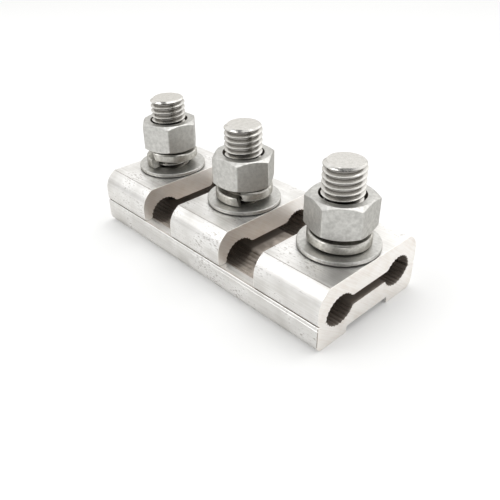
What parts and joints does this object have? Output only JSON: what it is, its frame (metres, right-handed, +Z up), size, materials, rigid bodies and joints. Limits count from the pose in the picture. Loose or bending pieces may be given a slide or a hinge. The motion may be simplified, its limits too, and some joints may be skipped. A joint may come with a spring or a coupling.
{
  "type": "parallel groove clamp",
  "caption": "Parallel groove clamp: an extruded aluminium body and bolted saddles that join two parallel overhead conductors.",
  "frame": {"origin": "at the height of the two feet, under the axis of the middle bolt, midway along and across the clamp", "axes": "+X along the clamp and its grooves, +Y across it, +Z up along the bolts towards their nuts"},
  "size_m": [0.102, 0.0442, 0.0452],
  "materials": {
    "aluminium": "mill finish extrusion, sawn ends",
    "galvanised_steel": "matt hot-dip galvanised",
    "spring_steel": "matt galvanised",
    "bolt_steel": "galvanised, slightly glossy thread"
  },
  "bodies": {
    "lower_body": {"lower_body": "aluminium", "bolt_1": "bolt_steel", "bolt_2": "bolt_steel", "bolt_3": "bolt_steel"},
    "saddle_1": {"saddle_1": "aluminium", "flat_washer_1": "galvanised_steel", "spring_washer_1": "spring_steel"},
    "nut_1": {"nut_1": "galvanised_steel"},
    "saddle_2": {"saddle_2": "aluminium", "flat_washer_2": "galvanised_steel", "spring_washer_2": "spring_steel"},
    "nut_2": {"nut_2": "galvanised_steel"},
    "saddle_3": {"saddle_3": "aluminium", "flat_washer_3": "galvanised_steel", "spring_washer_3": "spring_steel"},
    "nut_3": {"nut_3": "galvanised_steel"}
  },
  "joints": [
    {"name": "saddle_1_lift", "type": "slide", "parent": "lower_body", "child": "saddle_1", "axis": [0, 0, 1], "range_m": [0, 0.007]},
    {"name": "nut_1_turn", "type": "hinge", "parent": "saddle_1", "child": "nut_1", "pos_m": [-0.039, 0, 0.03], "axis": [0, 0, 1], "range_deg": [0, 1440]},
    {"name": "saddle_2_lift", "type": "slide", "parent": "lower_body", "child": "saddle_2", "axis": [0, 0, 1], "range_m": [0, 0.007]},
    {"name": "nut_2_turn", "type": "hinge", "parent": "saddle_2", "child": "nut_2", "pos_m": [0, 0, 0.03], "axis": [0, 0, 1], "range_deg": [0, 1440]},
    {"name": "saddle_3_lift", "type": "slide", "parent": "lower_body", "child": "saddle_3", "axis": [0, 0, 1], "range_m": [0, 0.007]},
    {"name": "nut_3_turn", "type": "hinge", "parent": "saddle_3", "child": "nut_3", "pos_m": [0.039, 0, 0.03], "axis": [0, 0, 1], "range_deg": [0, 1440]}
  ],
  "couplings": [
    {"joint": "nut_1_turn", "follows": "saddle_1_lift", "rad_per_m": 3590.4},
    {"joint": "nut_2_turn", "follows": "saddle_2_lift", "rad_per_m": 3590.4},
    {"joint": "nut_3_turn", "follows": "saddle_3_lift", "rad_per_m": 3590.4}
  ]
}
